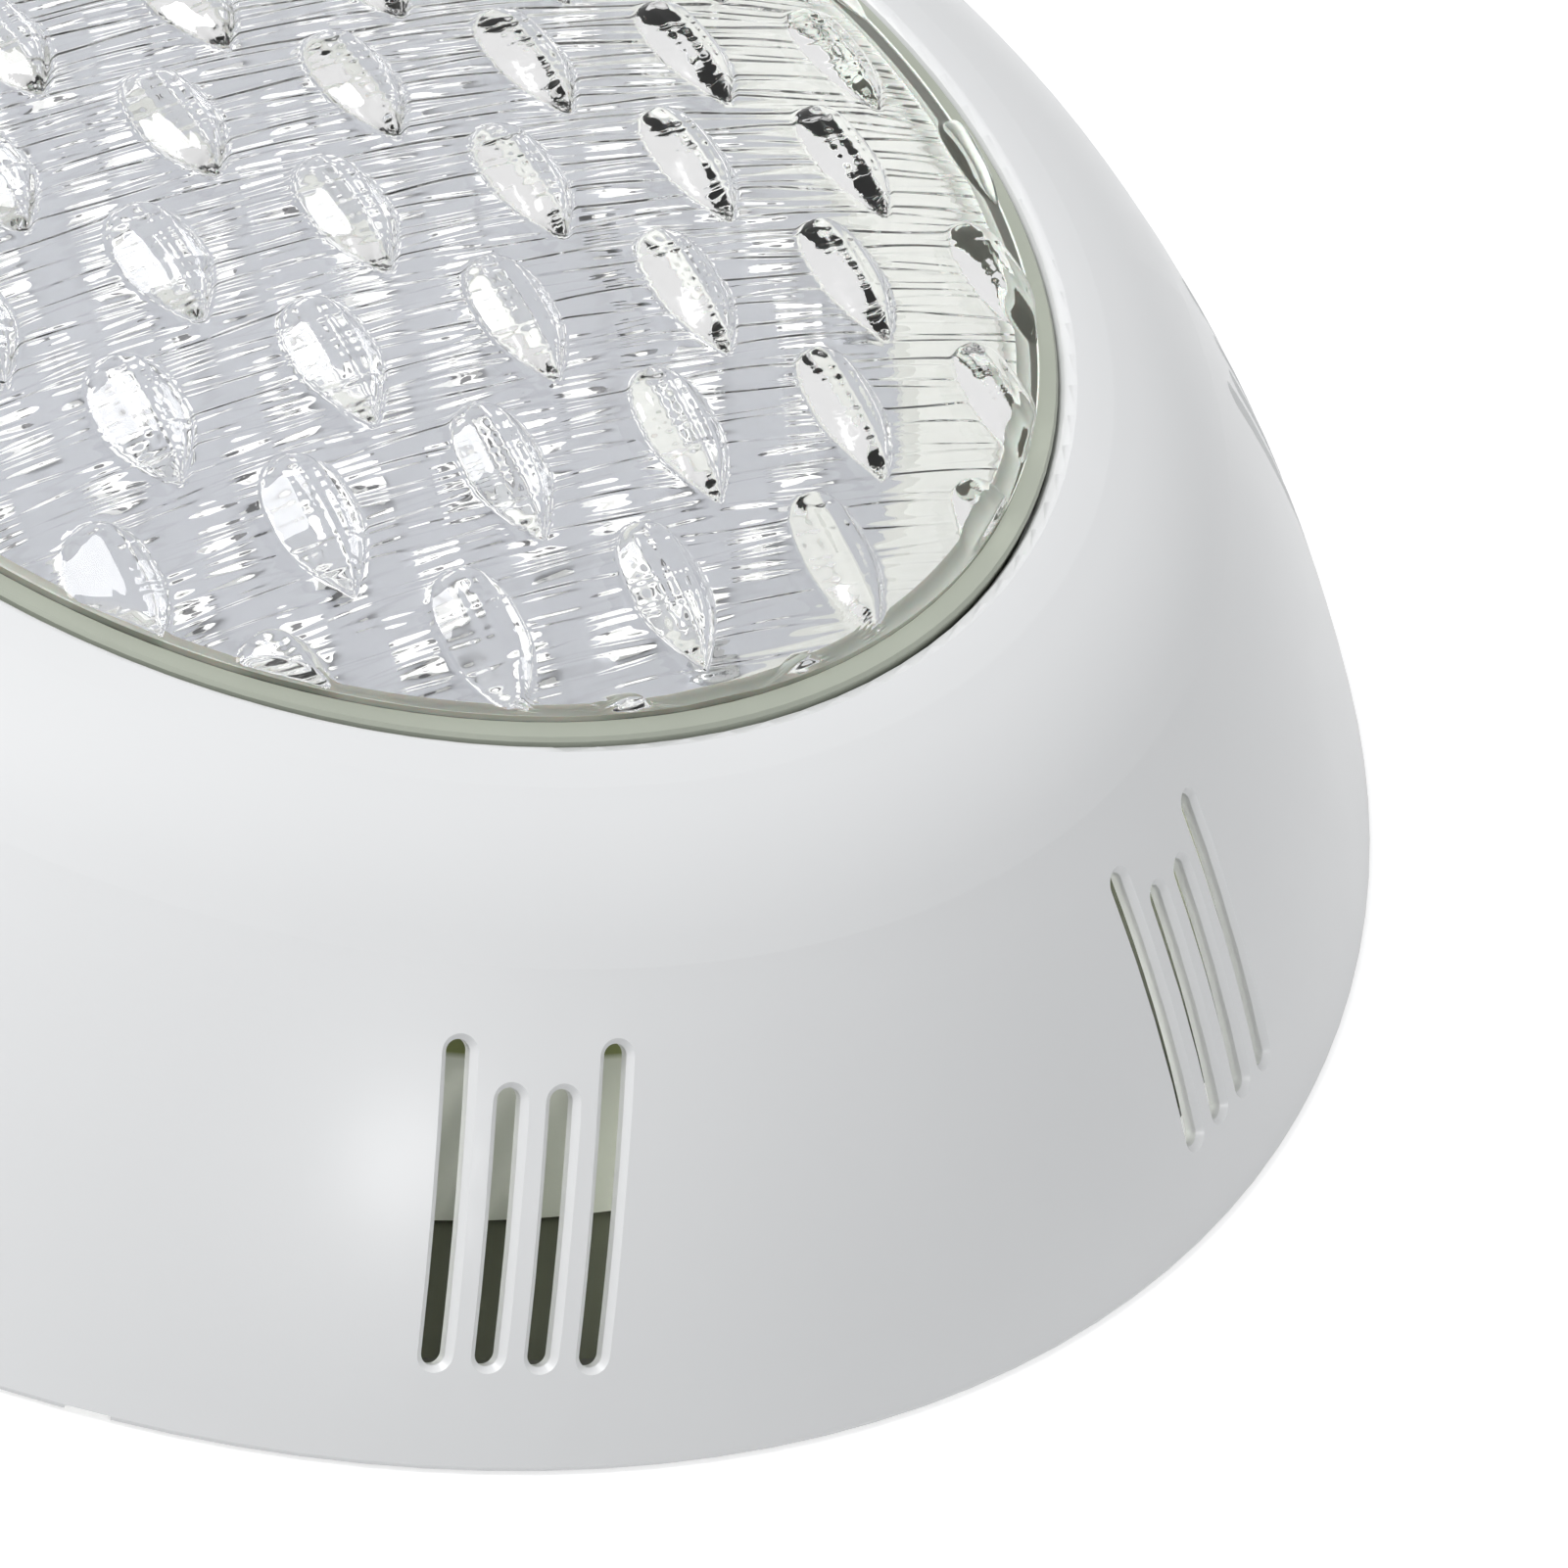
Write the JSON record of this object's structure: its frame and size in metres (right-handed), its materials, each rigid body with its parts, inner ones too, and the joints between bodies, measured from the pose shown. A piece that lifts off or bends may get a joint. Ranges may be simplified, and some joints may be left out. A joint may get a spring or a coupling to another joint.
{
  "type": "underwater pool light",
  "caption": "Surface mounted underwater pool light: slotted dome cover round a clear prismatic lens, sealed lamp behind it on a twist-lock wall bracket.",
  "frame": {"origin": "centre of the wall face, where the lamp axis meets the pool wall plane", "axes": "+Z along the lamp axis, out of the wall and the way the light shines; -Y through the middle of one slot group"},
  "size_m": [0.29, 0.29, 0.0696],
  "materials": {
    "cover_white": "smooth moulded, low gloss",
    "bracket_grey": "moulded",
    "carrier_white": "moulded",
    "bowl_white": "moulded",
    "lens_clear": "clear polished polycarbonate",
    "gasket_olive": "matt silicone",
    "stainless": "stamped stainless steel",
    "screw_steel": "stainless steel",
    "reflector_pale": "glossy white",
    "board_white": "white solder resist",
    "chip_resin": "phosphor resin in a white frame",
    "spreader_aluminium": "milled",
    "board_green": "green solder resist",
    "capacitor_sleeve": "shrink sleeve",
    "copper_winding": "enamelled winding",
    "chip_black": "moulded package",
    "terminal_green": "moulded",
    "lead_insulation": "silicone insulation",
    "gland_black": "moulded nylon",
    "seal_rubber": "moulded rubber"
  },
  "bodies": {
    "bracket": {"wall_bracket": "bracket_grey"},
    "lamp_head": {"lens": "lens_clear", "lens_gasket": "gasket_olive", "lens_clamp_ring": "stainless", "clamp_ring_screws": "screw_steel", "reflector_cone": "reflector_pale", "led_board": "board_white", "led_chips": "chip_resin", "led_board_screws": "screw_steel", "heat_spreader": "spreader_aluminium", "driver_board": "board_green", "driver_board_screws": "screw_steel", "driver_capacitors": "capacitor_sleeve", "driver_inductor": "copper_winding", "driver_chips": "chip_black", "terminal_block": "terminal_green", "terminal_screws": "screw_steel", "board_leads": "lead_insulation", "lamp_bowl": "bowl_white", "carrier_housing": "carrier_white", "clip_screws": "screw_steel", "gland_body": "gland_black", "gland_washer": "seal_rubber", "gland_seal": "seal_rubber", "gland_locknut": "gland_black"},
    "cover": {"front_cover": "cover_white"},
    "gland_cap": {"gland_nut": "gland_black"},
    "swing_clip_1": {"swing_clip_1": "stainless"},
    "swing_clip_2": {"swing_clip_2": "stainless"},
    "swing_clip_3": {"swing_clip_3": "stainless"},
    "swing_clip_4": {"swing_clip_4": "stainless"}
  },
  "joints": [
    {"name": "lamp_turn", "type": "hinge", "parent": "bracket", "child": "lamp_head", "pos_m": [0, 0, 0.0075], "axis": [0, 0, 1], "range_deg": [0, 22]},
    {"name": "cover_lift", "type": "slide", "parent": "lamp_head", "child": "cover", "axis": [0, 0, 1], "range_m": [0, 0.12]},
    {"name": "gland_nut_turn", "type": "hinge", "parent": "lamp_head", "child": "gland_cap", "pos_m": [0, 0, 0.0065], "axis": [0, 0, 1], "continuous": true},
    {"name": "clip_1_swing", "type": "hinge", "parent": "lamp_head", "child": "swing_clip_1", "pos_m": [0.07043, 0.07043, 0.0402], "axis": [0, 0, 1], "range_deg": [-100, 100]},
    {"name": "clip_2_swing", "type": "hinge", "parent": "lamp_head", "child": "swing_clip_2", "pos_m": [-0.07043, 0.07043, 0.0402], "axis": [0, 0, 1], "range_deg": [-100, 100]},
    {"name": "clip_3_swing", "type": "hinge", "parent": "lamp_head", "child": "swing_clip_3", "pos_m": [-0.07043, -0.07043, 0.0402], "axis": [0, 0, 1], "range_deg": [-100, 100]},
    {"name": "clip_4_swing", "type": "hinge", "parent": "lamp_head", "child": "swing_clip_4", "pos_m": [0.07043, -0.07043, 0.0402], "axis": [0, 0, 1], "range_deg": [-100, 100]}
  ]
}
